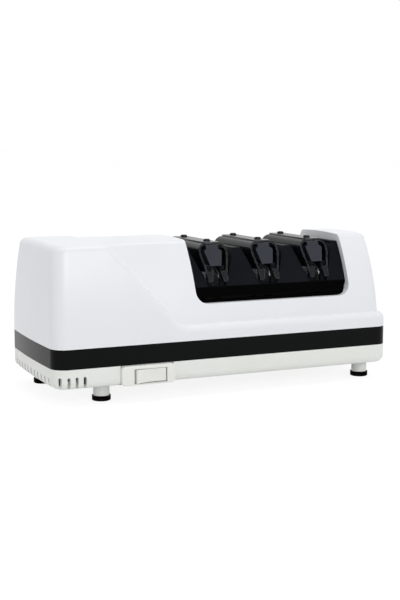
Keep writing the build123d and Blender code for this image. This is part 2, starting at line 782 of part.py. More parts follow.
def turned(x, side, points):
    """Ring turned about the shaft axis from points (distance outward, radius)."""
    with BuildPart() as ring:
        with BuildSketch(Plane.XZ.offset(-SHAFT_Y)):
            with BuildLine():
                Polyline([(x + side * out, SHAFT_Z + r) for out, r in points], close=True)
            make_face()
        revolve(axis=Axis((x, SHAFT_Y, SHAFT_Z), (1, 0, 0)))
    return ring.part


def make_disc(x, side):
    """Grinding disc: flat seat, shallow cone and thicker rim."""
    flat = HUB_R + 2
    with BuildPart() as disc:
        add(turned(x, side, [
            (DISC_SEAT_X, HUB_BOSS_R + 0.05),
            (DISC_SEAT_X, flat),
            (DISC_RIM_X - DISC_T - 0.35, DISC_R - 3.5),
            (DISC_RIM_X - 2.4, DISC_R - 3.0),
            (DISC_RIM_X - 2.4, DISC_R),
            (DISC_RIM_X - 0.3, DISC_R),
            (DISC_RIM_X, DISC_R - 0.4),
            (DISC_SEAT_X + DISC_T, flat),
            (DISC_SEAT_X + DISC_T, HUB_BOSS_R + 0.05),
        ]))
    return disc


def make_disc_hub(x, side):
    """Flanged hub that lets its disc slide along the shaft."""
    with BuildPart() as disc_hub:
        add(turned(x, side, [
            (HUB_INNER_X, 5.9),
            (HUB_INNER_X, HUB_R),
            (DISC_SEAT_X, HUB_R),
            (DISC_SEAT_X, HUB_BOSS_R),
            (HUB_OUTER_X, HUB_BOSS_R),
            (HUB_OUTER_X, SHAFT_R + RUN),
            (HUB_INNER_X + 2.4, SHAFT_R + RUN),
            (HUB_INNER_X + 2.4, 5.9),
        ]))
    return disc_hub


def make_disc_spring(x):
    """Coil between the two hubs of a stage, held on the shaft."""
    length = 2 * (HUB_INNER_X + 2.4 - DISC_TRAVEL - 0.3)
    wire = 0.5
    mean = SHAFT_R + 0.05 + wire
    with BuildPart() as disc_spring:
        with BuildLine():
            path = Helix(
                pitch=(length - 2 * wire) / 2.5,
                height=length - 2 * wire,
                radius=mean,
                center=(x - length / 2 + wire, SHAFT_Y, SHAFT_Z),
                direction=(1, 0, 0),
            )
        with BuildSketch(Plane(origin=path @ 0, z_dir=path % 0)):
            Circle(wire)
        sweep(path=path, is_frenet=True)
    return disc_spring


def make_motor_shaft():
    """Steel shaft from the fan to the bearing in the tower."""
    with BuildPart() as motor_shaft:
        add(tube(STACK_LEFT - 17.5, STAGE_RIGHT - 14, SHAFT_R, 0))
        chamfer(motor_shaft.edges().filter_by(GeomType.CIRCLE), 0.5)
    return motor_shaft


def make_disc_stops():
    """Retaining rings that stop the hubs on their outer sides."""
    with BuildPart() as disc_stops:
        for x in STAGES:
            for side in (-1, 1):
                add(turned(x, side, [
                    (HUB_OUTER_X + MOVE, SHAFT_R),
                    (HUB_OUTER_X + MOVE, SHAFT_R + 2),
                    (HUB_OUTER_X + MOVE + 0.8, SHAFT_R + 2),
                    (HUB_OUTER_X + MOVE + 0.8, SHAFT_R),
                ]))
    return disc_stops


def make_rotor_core():
    """Laminated rotor with slots, and the commutator beside it."""
    right = STACK_LEFT + STACK_L
    with BuildPart() as rotor_core:
        add(tube(STACK_LEFT, right, ROTOR_R, SHAFT_R))
        with BuildSketch(shaft_plane(STACK_LEFT)):
            with PolarLocations(ROTOR_R - 2.5, 12):
                Rectangle(6, 1.6)
        extrude(amount=STACK_L, mode=Mode.SUBTRACT)
        add(tube(right + 0.5, right + BRACKET_L - STRAP_T - 1, 8, SHAFT_R))
        add(tube(right, right + 0.5, 6.5, SHAFT_R))
    return rotor_core


def make_stator_stack():
    """Square laminated stack with two poles, coil windows and bolt holes."""
    bore = ROTOR_R + AIR_GAP
    with BuildPart() as stator_stack:
        with BuildSketch(shaft_plane(STACK_LEFT)):
            RectangleRounded(2 * STACK_HALF, 2 * STACK_HALF, 4)
            Circle(bore, mode=Mode.SUBTRACT)
            with Locations([(sy * 14.5, sz * (bore + 4)) for sy in (-1, 1) for sz in (-1, 1)]):
                Rectangle(11, 5, mode=Mode.SUBTRACT)
            with Locations((-BOLT_Y, 0), (BOLT_Y, 0)):
                Circle(2.2, mode=Mode.SUBTRACT)
        extrude(amount=STACK_L)
    return stator_stack


def make_field_coils():
    """Two coils wound round the poles, standing out at both ends of the stack."""
    bore = ROTOR_R + AIR_GAP
    middle = STACK_LEFT + STACK_L / 2
    with BuildPart() as field_coils:
        for side in (-1, 1):
            low = SHAFT_Z + side * (bore + 4) - 2.3
            with BuildSketch(Plane.XY.offset(low)):
                with Locations((middle, SHAFT_Y)):
                    RectangleRounded(STACK_L + 11, 39, 3)
                    Rectangle(STACK_L + 2 * SEAT, 18.2, mode=Mode.SUBTRACT)
            extrude(amount=4.6)
    return field_coils


def make_bracket(stack_face, side):
    """Strap with two spacers and a bearing boss, bolted to one face of the stack."""
    near = stack_face
    strap = stack_face + side * (BRACKET_L - STRAP_T)
    far = stack_face + side * BRACKET_L
    with BuildPart() as bracket:
        for y in (-BOLT_Y, BOLT_Y):
            with BuildSketch(shaft_plane(near)):
                with Locations((y, 0)):
                    Circle(4)
            extrude(amount=side * (BRACKET_L - STRAP_T))
        with BuildSketch(shaft_plane(strap)):
            SlotCenterToCenter(2 * BOLT_Y, 10)
            Circle(9)
        extrude(amount=side * STRAP_T)
        with BuildSketch(shaft_plane(far)):
            Circle(8)
        extrude(amount=side * 2)
        with BuildSketch(shaft_plane(far + side * 3)):
            Circle(BUSH_R)
            with Locations((-BOLT_Y, 0), (BOLT_Y, 0)):
                Circle(2.2)
        extrude(amount=-side * (BRACKET_L + 4), mode=Mode.SUBTRACT)
    return bracket


def make_shaft_bushes():
    """Two bronze bushes in the motor brackets."""
    with BuildPart() as shaft_bushes:
        far = BRACKET_L + 2
        right = STACK_LEFT + STACK_L
        add(tube(STACK_LEFT - far, STACK_LEFT - far + STRAP_T + 2, BUSH_R, SHAFT_R + RUN))
        add(tube(right + far - STRAP_T - 2, right + far, BUSH_R, SHAFT_R + RUN))
    return shaft_bushes


def make_motor_bolts():
    """Two long bolts through brackets and stack."""
    left = STACK_LEFT - BRACKET_L
    right = STACK_LEFT + STACK_L + BRACKET_L
    with BuildPart() as motor_bolts:
        for y in (-BOLT_Y, BOLT_Y):
            for start, end, radius in ((left - 2.2, left, 3.4), (left, right, 2.0), (right, right + 2.2, 3.4)):
                with BuildSketch(shaft_plane(start)):
                    with Locations((y, 0)):
                        Circle(radius)
                extrude(amount=end - start)
    return motor_bolts


def make_end_bearing():
    """Pedestal on the base that carries the far end of the shaft."""
    left = bearing_x()
    with BuildPart() as end_bearing:
        with BuildSketch(shaft_plane(left)) as profile:
            with BuildLine():
                Polyline(
                    (-13, BASE_FLOOR - SHAFT_Z),
                    (13, BASE_FLOOR - SHAFT_Z),
                    (10, 0),
                    (-10, 0),
                    close=True,
                )
            make_face()
            Circle(10)
            Circle(BUSH_R, mode=Mode.SUBTRACT)
        extrude(amount=BEARING_L)
    return end_bearing


BEARING_L = 6.0


def bearing_x():
    """Left face of the bearing pedestal, clear of the collar round the well."""
    return WELL_RIGHT + COLLAR + 1.8


def make_end_bush():
    """Bush of the end bearing."""
    with BuildPart() as end_bush:
        add(tube(bearing_x(), bearing_x() + BEARING_L, BUSH_R, SHAFT_R + RUN))
    return end_bush


def make_cooling_fan():
    """Fan with pitched blades on the left end of the shaft."""
    left = STACK_LEFT - 17
    with BuildPart() as cooling_fan:
        add(tube(left, left + 5, 7, SHAFT_R))
        with Locations(shaft_plane(left + 2.5)):
            with PolarLocations(FAN_R / 2 + 3, 8):
                Box(FAN_R - 6, 5.4, 1.1, rotation=(35, 0, 0))
    return cooling_fan


def make_switch_bezel():
    """Frame of the rocker switch, standing proud of the base."""
    front = -DEPTH / 2 - BEZEL_PROUD
    height = BASE_H - 0.4
    with BuildPart() as switch_bezel:
        with BuildSketch(Plane.XZ.offset(-front)):
            with Locations((BEZEL_X, (BASE_BOTTOM + BASE_TOP) / 2)):
                RectangleRounded(BEZEL_L, height, 2.5)
        extrude(amount=-(BEZEL_PROUD + BEZEL_BACK))
        fillet(switch_bezel.faces().sort_by(Axis.Y)[0].edges(), 1.0)
        with BuildSketch(Plane.XZ.offset(-front)):
            with Locations((ROCKER_X, ROCKER_Z)):
                Rectangle(2 * ROCKER_HALF + 1.5, ROCKER_H + 2 * MOVE)
        extrude(amount=-(BEZEL_PROUD + BEZEL_BACK), mode=Mode.SUBTRACT)
    return switch_bezel


def make_switch_rocker():
    """Rocker with a hollowed face, its right end pressed in."""
    front = -DEPTH / 2 - BEZEL_PROUD - ROCKER_PROUD
    back = ROCKER_PIVOT_Y + 2
    bottom = ROCKER_Z - ROCKER_H / 2
    with BuildPart() as switch_rocker:
        with BuildSketch(Plane.XY.offset(bottom)):
            with BuildLine():
                left = Line((ROCKER_X - ROCKER_HALF, back), (ROCKER_X - ROCKER_HALF, front))
                face = ThreePointArc(left @ 1, (ROCKER_X, front + 1.6), (ROCKER_X + ROCKER_HALF, front))
                Polyline(face @ 1, (ROCKER_X + ROCKER_HALF, back), left @ 0)
            make_face()
        extrude(amount=ROCKER_H)
        fillet(switch_rocker.faces().sort_by(Axis.Y)[0].edges(), 0.5)
    pivot = Axis((ROCKER_X, ROCKER_PIVOT_Y, 0), (0, 0, 1))
    switch_rocker.part = switch_rocker.part.rotate(pivot, ROCKER_TILT)
    return switch_rocker


def make_switch_body():
    """Body of the switch behind its bezel, with three terminals."""
    front = -DEPTH / 2 + BEZEL_BACK + SEAT
    with BuildPart() as switch_body:
        with BuildSketch(Plane.XZ.offset(-front)):
            with Locations((ROCKER_X, BASE_FLOOR + 5.1)):
                Rectangle(26, 10)
        extrude(amount=-17)
        for i in range(3):
            with Locations((ROCKER_X - 8 + 8 * i, front + 17, BASE_FLOOR + 5)):
                Box(5, 12, 0.8)
    return switch_body


def make_cord_gland():
    """Inlet bush in the rear wall of the base."""
    with BuildPart() as cord_gland:
        with BuildSketch(Plane(origin=(GLAND_X, DEPTH / 2, GLAND_Z), z_dir=(0, 1, 0))):
            Circle(5.2)
        extrude(amount=2)
        with BuildSketch(Plane(origin=(GLAND_X, DEPTH / 2, GLAND_Z), z_dir=(0, 1, 0))):
            Circle(GLAND_R)
        extrude(amount=-(WALL + 3))
        with Locations(Plane(origin=(GLAND_X, DEPTH / 2, GLAND_Z), z_dir=(0, 1, 0))):
            Cylinder(2.8, 30, mode=Mode.SUBTRACT)
    return cord_gland


def lever_reach():
    """Distance from the lever's pivot to its tip, level with the rocker at the front."""
    tip = (ROCKER_HALF * sin(radians(ROCKER_TILT))
           + (DEPTH / 2 + BEZEL_PROUD + ROCKER_PROUD + ROCKER_PIVOT_Y) * cos(radians(ROCKER_TILT)))
    return tip - ROCKER_PIVOT_Y - LEVER_Y


def make_dressing_lever():
    """Forked lever at the rear of the last stage, with a finger tab outside."""
    x = STAGES[2]
    with BuildPart() as dressing_lever:
        with BuildSketch(Plane.XY.offset(LEVER_Z)):
            with Locations((x, LEVER_Y)):
                Circle(6.5)
            with Locations((x, LEVER_Y + lever_reach())):
                RectangleRounded(2 * TAB_HALF, 2 * lever_reach(), 1.5, align=(Align.CENTER, Align.MAX))
            with Locations((x, LEVER_Y - 3)):
                Rectangle(2 * (FORK_HALF + 4.6), 5)
            for side in (-1, 1):
                with Locations((x + side * (FORK_HALF + 3.1), LEVER_Y - 5)):
                    Rectangle(3, FORK_REACH - 5, align=(Align.CENTER, Align.MAX))
            with Locations((x, LEVER_Y - 5.5)):
                Rectangle(2 * TAB_HALF + 2, lever_reach(), align=(Align.CENTER, Align.MAX), mode=Mode.SUBTRACT)
            with Locations((x, LEVER_Y)):
                Circle(LEVER_PIN_R + RUN, mode=Mode.SUBTRACT)
        extrude(amount=LEVER_T)
    return dressing_lever


def make_dressing_pads():
    """Abrasive pads on the inner faces of the lever's fork."""
    with BuildPart() as dressing_pads:
        for side in (-1, 1):
            with Locations((STAGES[2] + side * (FORK_HALF + 0.8), LEVER_Y - FORK_REACH + 6, LEVER_Z + LEVER_T / 2)):
                Box(1.6, 10, LEVER_T - 1)
    return dressing_pads


def make_lever_screw():
    """Screw and washer head that keep the lever on its pin."""
    top = LEVER_Z + LEVER_T + MOVE
    with BuildPart() as lever_screw:
        with Locations((STAGES[2], LEVER_Y, top)):
            Cylinder(5, 1.8, align=(Align.CENTER, Align.CENTER, Align.MIN))
            Cylinder(1.2, 12, align=(Align.CENTER, Align.CENTER, Align.MAX))
    return lever_screw


def keep(piece, label):
    """Name a finished piece and write it as one STEP file."""
    piece.part.label = label
    export_step(piece.part, f"parts/{label}.step")


def main():
    """Make every piece."""
    os.makedirs("parts", exist_ok=True)
    keep(make_upper_housing(), "upper_housing")
    keep(make_trim_band(), "trim_band")
    keep(make_base_tray(), "base_tray")
    keep(make_cleanout_cover(), "cleanout_cover")
    keep(make_cleanout_magnet(), "cleanout_magnet")
    keep(make_rubber_feet(), "rubber_feet")
    keep(make_housing_screws(), "housing_screws")
    keep(make_well_liner(), "well_liner")
    keep(make_guide_screws(), "guide_screws")
    for number, x in enumerate(STAGES, start=1):
        keep(make_guide_core(x), f"guide_core_{number}")
        keep(make_guide_spring(x), f"guide_spring_{number}")
        keep(make_guide_plate(x), f"guide_plate_{number}")
        keep(make_disc_spring(x), f"disc_spring_{number}")
        for side, name in ((-1, "left"), (1, "right")):
            keep(make_disc(x, side), f"disc_{number}_{name}")
            keep(make_disc_hub(x, side), f"disc_hub_{number}_{name}")
    keep(make_motor_shaft(), "motor_shaft")
    keep(make_disc_stops(), "disc_stops")
    keep(make_rotor_core(), "rotor_core")
    keep(make_cooling_fan(), "cooling_fan")
    keep(make_stator_stack(), "stator_stack")
    keep(make_field_coils(), "field_coils")
    keep(make_bracket(STACK_LEFT, -1), "motor_bracket_left")
    keep(make_bracket(STACK_LEFT + STACK_L, 1), "motor_bracket_right")
    keep(make_shaft_bushes(), "shaft_bushes")
    keep(make_motor_bolts(), "motor_bolts")
    keep(make_end_bearing(), "end_bearing_pedestal")
    keep(make_end_bush(), "end_bush")
    keep(make_switch_bezel(), "switch_bezel")
    keep(make_switch_rocker(), "switch_rocker")
    keep(make_switch_body(), "switch_body")
    keep(make_cord_gland(), "cord_gland")
    keep(make_dressing_lever(), "dressing_lever")
    keep(make_dressing_pads(), "dressing_pads")
    keep(make_lever_screw(), "lever_screw")


main()
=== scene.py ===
"""Looks of a countertop electric knife sharpener: white moulded housing, black trim band, three guide stages.

Metres, in the same frame as the solids: X along the length, Y to the back, Z up, floor at Z = 0.
"""
import math

import bpy
import numpy as np
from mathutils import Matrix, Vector


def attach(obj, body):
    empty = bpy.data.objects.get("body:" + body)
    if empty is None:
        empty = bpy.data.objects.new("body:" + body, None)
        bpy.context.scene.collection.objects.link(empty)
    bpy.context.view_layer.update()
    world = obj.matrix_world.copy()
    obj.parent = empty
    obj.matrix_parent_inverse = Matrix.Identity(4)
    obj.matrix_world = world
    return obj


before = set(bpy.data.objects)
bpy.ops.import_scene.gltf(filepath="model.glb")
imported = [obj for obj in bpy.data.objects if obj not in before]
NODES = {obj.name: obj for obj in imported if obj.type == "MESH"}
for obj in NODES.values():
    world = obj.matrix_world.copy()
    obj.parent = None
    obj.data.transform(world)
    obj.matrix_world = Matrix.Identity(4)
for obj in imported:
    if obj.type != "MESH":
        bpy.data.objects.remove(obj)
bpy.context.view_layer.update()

# ---------------------------------------------------------------- camera and studio

CAMERA_TARGET = Vector((-0.00063, 0.0, 0.05768))
CAMERA_AZIMUTH = math.radians(-24.17)
CAMERA_ELEVATION = math.radians(7.81)
CAMERA_DISTANCE = 0.82106
CAMERA_LENS = 68.527


def set_camera():
    """One camera on a sphere round the target, looking at it, with no shift and no depth of field."""
    data = bpy.data.cameras.new("studio_camera")
    data.lens = CAMERA_LENS
    data.sensor_width = 36.0
    data.clip_start = 0.01
    data.clip_end = 50.0
    camera = bpy.data.objects.new("studio_camera", data)
    bpy.context.scene.collection.objects.link(camera)
    back = Vector(
        (
            math.sin(CAMERA_AZIMUTH) * math.cos(CAMERA_ELEVATION),
            -math.cos(CAMERA_AZIMUTH) * math.cos(CAMERA_ELEVATION),
            math.sin(CAMERA_ELEVATION),
        )
    )
    camera.location = CAMERA_TARGET + back * CAMERA_DISTANCE
    camera.rotation_mode = "QUATERNION"
    camera.rotation_quaternion = (-back).to_track_quat("-Z", "Y")
    bpy.context.scene.camera = camera


def soft_lamp(name, place, aim, width, height, power):
    """A rectangular soft box at place that faces aim."""
    data = bpy.data.lights.new(name, "AREA")
    data.shape = "RECTANGLE"
    data.size = width
    data.size_y = height
    data.energy = power
    lamp = bpy.data.objects.new(name, data)
    bpy.context.scene.collection.objects.link(lamp)
    lamp.location = place
    lamp.rotation_mode = "QUATERNION"
    lamp.rotation_quaternion = (Vector(aim) - Vector(place)).to_track_quat("-Z", "Y")


def grid_mesh(name, points, wrap_u=False, wrap_v=False):
    """A mesh over a grid of points (rows, columns, xyz). Wrapping joins last to first."""
    rows, cols = points.shape[:2]
    u = np.arange(rows if wrap_u else rows - 1)
    v = np.arange(cols if wrap_v else cols - 1)
    a, b = np.meshgrid(u, v, indexing="ij")
    a1, b1 = (a + 1) % rows, (b + 1) % cols
    quads = np.stack([a * cols + b, a1 * cols + b, a1 * cols + b1, a * cols + b1], -1).reshape(-1, 4)
    mesh = bpy.data.meshes.new(name)
    mesh.from_pydata(points.reshape(-1, 3).tolist(), [], quads.tolist())
    mesh.update()
    return mesh


def place_mesh(name, mesh, material, smooth=True):
    """Puts the mesh in the scene as an object at the origin, unturned and unscaled."""
    mesh.polygons.foreach_set("use_smooth", np.full(len(mesh.polygons), smooth))
    mesh.materials.append(material)
    piece = bpy.data.objects.new(name, mesh)
    bpy.context.scene.collection.objects.link(piece)
    return piece


# ---------------------------------------------------------------- node helpers


def new_group(name, inputs, outputs):
    """A shader node group with named sockets. Inputs are (name, kind, value)."""
    group = bpy.data.node_groups.new(name, "ShaderNodeTree")
    for title, kind, value in inputs:
        socket = group.interface.new_socket(title, in_out="INPUT", socket_type="NodeSocket" + kind)
        socket.default_value = value
    for title, kind in outputs:
        group.interface.new_socket(title, in_out="OUTPUT", socket_type="NodeSocket" + kind)
    return group, Wiring(group)


class Wiring:
    """Short calls that add nodes to one tree and link them."""

    def __init__(self, tree):
        self.tree = tree
        self.source = None
        self.sink = None

    def add(self, kind, **settings):
        node = self.tree.nodes.new("ShaderNode" + kind)
        for key, value in settings.items():
            setattr(node, key, value)
        return node

    def put(self, socket, value):
        """Links a socket to another, or sets its plain value."""
        if isinstance(value, bpy.types.NodeSocket):
            self.tree.links.new(value, socket)
        else:
            socket.default_value = value

    def given(self, title):
        if self.source is None:
            self.source = self.tree.nodes.new("NodeGroupInput")
        return self.source.outputs[title]

    def give(self, title, value):
        if self.sink is None:
            self.sink = self.tree.nodes.new("NodeGroupOutput")
        self.put(self.sink.inputs[title], value)

    def sum_of(self, kind, a, b=0.0, c=0.0, clamp=False):
        node = self.add("Math", operation=kind, use_clamp=clamp)
        self.put(node.inputs[0], a)
        self.put(node.inputs[1], b)
        self.put(node.inputs[2], c)
        return node.outputs[0]

    def vector(self, kind, a, b=(0.0, 0.0, 0.0), scale=1.0):
        node = self.add("VectorMath", operation=kind)
        self.put(node.inputs[0], a)
        self.put(node.inputs[1], b)
        if kind == "SCALE":
            self.put(node.inputs["Scale"], scale)
        return node.outputs["Value"] if kind in ("DOT_PRODUCT", "LENGTH") else node.outputs["Vector"]

    def place(self):
        return self.add("TexCoord").outputs["Object"]

    def noise(self, where, scale, detail=3.0, rough=0.55):
        node = self.add("TexNoise")
        self.put(node.inputs["Vector"], where)
        self.put(node.inputs["Scale"], scale)
        self.put(node.inputs["Detail"], detail)
        self.put(node.inputs["Roughness"], rough)
        return node.outputs["Fac"]

    def spread(self, value, low, high, to_low=0.0, to_high=1.0):
        node = self.add("MapRange", interpolation_type="SMOOTHSTEP")
        self.put(node.inputs["Value"], value)
        self.put(node.inputs["From Min"], low)
        self.put(node.inputs["From Max"], high)
        self.put(node.inputs["To Min"], to_low)
        self.put(node.inputs["To Max"], to_high)
        return node.outputs["Result"]

    def mix(self, amount, a, b):
        node = self.add("Mix", data_type="RGBA")
        self.put(node.inputs["Factor"], amount)
        self.put(node.inputs["A"], a)
        self.put(node.inputs["B"], b)
        return node.outputs["Result"]


def colour(red, green, blue):
    """A linear colour from display values of 0 to 255."""
    shades = [c / 255 for c in (red, green, blue)]
    linear = [c / 12.92 if c <= 0.04045 else ((c + 0.055) / 1.055) ** 2.4 for c in shades]
    return (*linear, 1.0)


# ---------------------------------------------------------------- shared effects


def build_moulded_skin():
    """Fine tool-steel texture of a moulded surface, with slow drift in gloss and shade."""
    group, w = new_group(
        "moulded skin",
        [
            ("Colour", "Color", (0.8, 0.8, 0.8, 1.0)),
            ("Drift Colour", "Color", (0.7, 0.7, 0.7, 1.0)),
            ("Drift", "Float", 0.3),
            ("Grain Scale", "Float", 2500.0),
            ("Gloss", "Float", 0.3),
            ("Gloss Spread", "Float", 0.06),
        ],
        [("Colour", "Color"), ("Roughness", "Float"), ("Height", "Float")],
    )
    at = w.place()
    slow = w.spread(w.noise(at, 14.0, 2.0), 0.3, 0.7)
    patch = w.spread(w.noise(at, 55.0, 4.0, 0.6), 0.35, 0.7)
    grain = w.noise(at, w.given("Grain Scale"), 2.0, 0.5)
    drift = w.sum_of("MULTIPLY", slow, w.given("Drift"))
    w.give("Colour", w.mix(drift, w.given("Colour"), w.given("Drift Colour")))
    swing = w.sum_of("ADD", w.sum_of("MULTIPLY", patch, 0.6), w.sum_of("MULTIPLY", slow, 0.4))
    swing = w.sum_of("SUBTRACT", swing, 0.5)
    rough = w.sum_of("MULTIPLY_ADD", swing, w.given("Gloss Spread"), w.given("Gloss"), clamp=True)
    w.give("Roughness", rough)
    w.give("Height", grain)
    return group


def build_edge_wear_and_highlight():
    """Mask that is 1 on sharp edges, broken up by noise: how far a rounded normal leans from the real one."""
    group, w = new_group(
        "edge scuffs and highlight",
        [("Reach", "Float", 0.0006), ("Strength", "Float", 1.0), ("Break Up", "Float", 350.0)],
        [("Mask", "Float")],
    )
    bevel = w.add("Bevel", samples=6)
    w.put(bevel.inputs["Radius"], w.given("Reach"))
    true = w.add("NewGeometry").outputs["Normal"]
    lean = w.sum_of("SUBTRACT", 1.0, w.vector("DOT_PRODUCT", bevel.outputs["Normal"], true))
    edge = w.spread(lean, 0.02, 0.22)
    broken = w.spread(w.noise(w.place(), w.given("Break Up"), 4.0, 0.65), 0.35, 0.62)
    w.give("Mask", w.sum_of("MULTIPLY", w.sum_of("MULTIPLY", edge, broken), w.given("Strength"), clamp=True))
    return group


def build_settled_dust():
    """Mask of fine dust on surfaces that face up, thicker near the floor, in soft patches."""
    group, w = new_group(
        "settled dust",
        [("Amount", "Float", 0.2), ("Low", "Float", 0.02), ("Patch Scale", "Float", 60.0)],
        [("Mask", "Float")],
    )
    at = w.place()
    normal = w.add("SeparateXYZ")
    w.put(normal.inputs[0], w.add("NewGeometry").outputs["Normal"])
    height = w.add("SeparateXYZ")
    w.put(height.inputs[0], at)
    up = w.spread(normal.outputs["Z"], 0.72, 0.98)
    near_floor = w.spread(height.outputs["Z"], w.given("Low"), 0.0)
    patch = w.spread(w.noise(at, w.given("Patch Scale"), 5.0, 0.65), 0.4, 0.75)
    laid = w.sum_of("MULTIPLY", w.sum_of("ADD", up, near_floor, clamp=True), patch)
    w.give("Mask", w.sum_of("MULTIPLY", laid, w.given("Amount"), clamp=True))
    return group


def build_turned_metal():
    """Rings left by a lathe round an axle that lies along X, plus a slow change in shine."""
    group, w = new_group(
        "turned metal",
        [
            ("Axle", "Vector", (0.0, -0.010, 0.0565)),
            ("Ring Scale", "Float", 2600.0),
            ("Shine", "Float", 0.28),
            ("Shine Spread", "Float", 0.15),
        ],
        [("Roughness", "Float"), ("Height", "Float"), ("Radius", "Float")],
    )
    at = w.vector("SUBTRACT", w.place(), w.given("Axle"))
    parts = w.add("SeparateXYZ")
    w.put(parts.inputs[0], at)
    flat = w.add("CombineXYZ")
    w.put(flat.inputs["Y"], parts.outputs["Y"])
    w.put(flat.inputs["Z"], parts.outputs["Z"])
    radius = w.vector("LENGTH", flat.outputs[0])
    ring_at = w.add("CombineXYZ")
    w.put(ring_at.inputs["X"], w.sum_of("MULTIPLY", radius, w.given("Ring Scale")))
    w.put(ring_at.inputs["Y"], w.sum_of("MULTIPLY", parts.outputs["X"], w.given("Ring Scale")))
    rings = w.noise(ring_at.outputs[0], 1.0, 2.0, 0.5)
    slow = w.noise(w.place(), 90.0, 3.0)
    swing = w.sum_of("SUBTRACT", slow, 0.5)
    rough = w.sum_of("MULTIPLY_ADD", swing, w.given("Shine Spread"), w.given("Shine"), clamp=True)
    w.give("Roughness", rough)
    w.give("Height", rings)
    w.give("Radius", radius)
    return group


def build_bonded_grit():
    """Tiny crystals bonded to a surface: their height, sparkle mask and the darker bond between them."""
    group, w = new_group(
        "bonded grit",
        [("Scale", "Float", 5200.0), ("Share", "Float", 0.5)],
        [("Height", "Float"), ("Sparkle", "Float"), ("Roughness", "Float")],
    )
    at = w.place()
    cells = w.add("TexVoronoi", feature="F1")
    w.put(cells.inputs["Vector"], at)
    w.put(cells.inputs["Scale"], w.given("Scale"))
    hill = w.sum_of("SUBTRACT", 1.0, cells.outputs["Distance"])
    pick = w.add("SeparateColor")
    w.put(pick.inputs[0], cells.outputs["Color"])
    bright = w.sum_of("GREATER_THAN", pick.outputs[0], w.given("Share"))
    w.give("Height", hill)
    w.give("Sparkle", w.sum_of("MULTIPLY", bright, w.spread(hill, 0.45, 0.8)))
    w.give("Roughness", w.sum_of("MULTIPLY_ADD", pick.outputs[1], 0.3, 0.25))
    return group


# SHELF_Z is where the liner's painted shade ends: below it the liner is coloured near-black, with a soft edge
# of SHELF_BLUR.
SHELF_Z = 0.0720
SHELF_BLUR = 0.0004
GRIT_FROM = 0.0150
GRIT_FADE = 0.0006
SHEETS_PER_METRE = 2000.0

SKIN = build_moulded_skin()
EDGE_WEAR_AND_HIGHLIGHT = build_edge_wear_and_highlight()
DUST = build_settled_dust()
TURNED = build_turned_metal()
GRIT = build_bonded_grit()


# ---------------------------------------------------------------- materials


def start_material(name):
    material = bpy.data.materials.new(name)
    material.use_nodes = True
    tree = material.node_tree
    tree.nodes.clear()
    w = Wiring(tree)
    shader = w.add("BsdfPrincipled")
    out = w.add("OutputMaterial")
    tree.links.new(shader.outputs[0], out.inputs[0])
    return material, w, shader


def use(w, group, **values):
    """Places a shared effect in a material with its own values. Names use _ for a space."""
    node = w.tree.nodes.new("ShaderNodeGroup")
    node.node_tree = group
    for title, value in values.items():
        w.put(node.inputs[title.replace("_", " ")], value)
    return node.outputs


def relief(w, shader, height, strength, distance):
    bump = w.add("Bump")
    bump.inputs["Strength"].default_value = strength
    bump.inputs["Distance"].default_value = distance
    w.put(bump.inputs["Height"], height)
    w.put(shader.inputs["Normal"], bump.outputs["Normal"])


def moulded_plastic(
    name, base, drift, gloss, grain=2500.0, depth=0.15, spread=0.06, drift_share=0.4,
    edge_wear_and_highlight_colour=None, wear=0.0, reach=0.0006, dust=0.0, dust_low=0.02, specular=0.5,
):
    """Injection-moulded plastic: fine grain, drift in shade and gloss, lighter edges that are scuffs on some
    finishes and a painted edge highlight on the white housing and the black guides, and a little dust.
    """
    material, w, shader = start_material(name)
    skin = use(
        w, SKIN, Colour=base, Drift_Colour=drift, Drift=drift_share,
        Grain_Scale=grain, Gloss=gloss, Gloss_Spread=spread,
    )
    shade = skin["Colour"]
    rough = skin["Roughness"]
    # The edge colour is a painted highlight on the white housing and the flexible guides, and scuffing on the
    # other finishes.
    if wear:
        edge_mask = use(w, EDGE_WEAR_AND_HIGHLIGHT, Reach=reach, Strength=wear)["Mask"]
        shade = w.mix(edge_mask, shade, edge_wear_and_highlight_colour)
    if dust:
        film = use(w, DUST, Amount=dust, Low=dust_low)["Mask"]
        shade = w.mix(film, shade, colour(196, 192, 184))
        rough = w.sum_of("MULTIPLY_ADD", film, 0.35, rough, clamp=True)
    w.put(shader.inputs["Base Color"], shade)
    w.put(shader.inputs["Roughness"], rough)
    shader.inputs["Specular IOR Level"].default_value = specular
    relief(w, shader, skin["Height"], depth, 0.00004)
    return material


def turned_steel(name, bright, dull, shine=0.28, rings=2600.0):
    """Machined steel with lathe rings round the motor shaft."""
    material, w, shader = start_material(name)
    cut = use(w, TURNED, Ring_Scale=rings, Shine=shine)
    tint = w.spread(w.noise(w.place(), 120.0, 4.0), 0.35, 0.7)
    w.put(shader.inputs["Base Color"], w.mix(tint, bright, dull))
    w.put(shader.inputs["Roughness"], cut["Roughness"])
    shader.inputs["Metallic"].default_value = 1.0
    relief(w, shader, cut["Height"], 0.35, 0.00002)
    return material


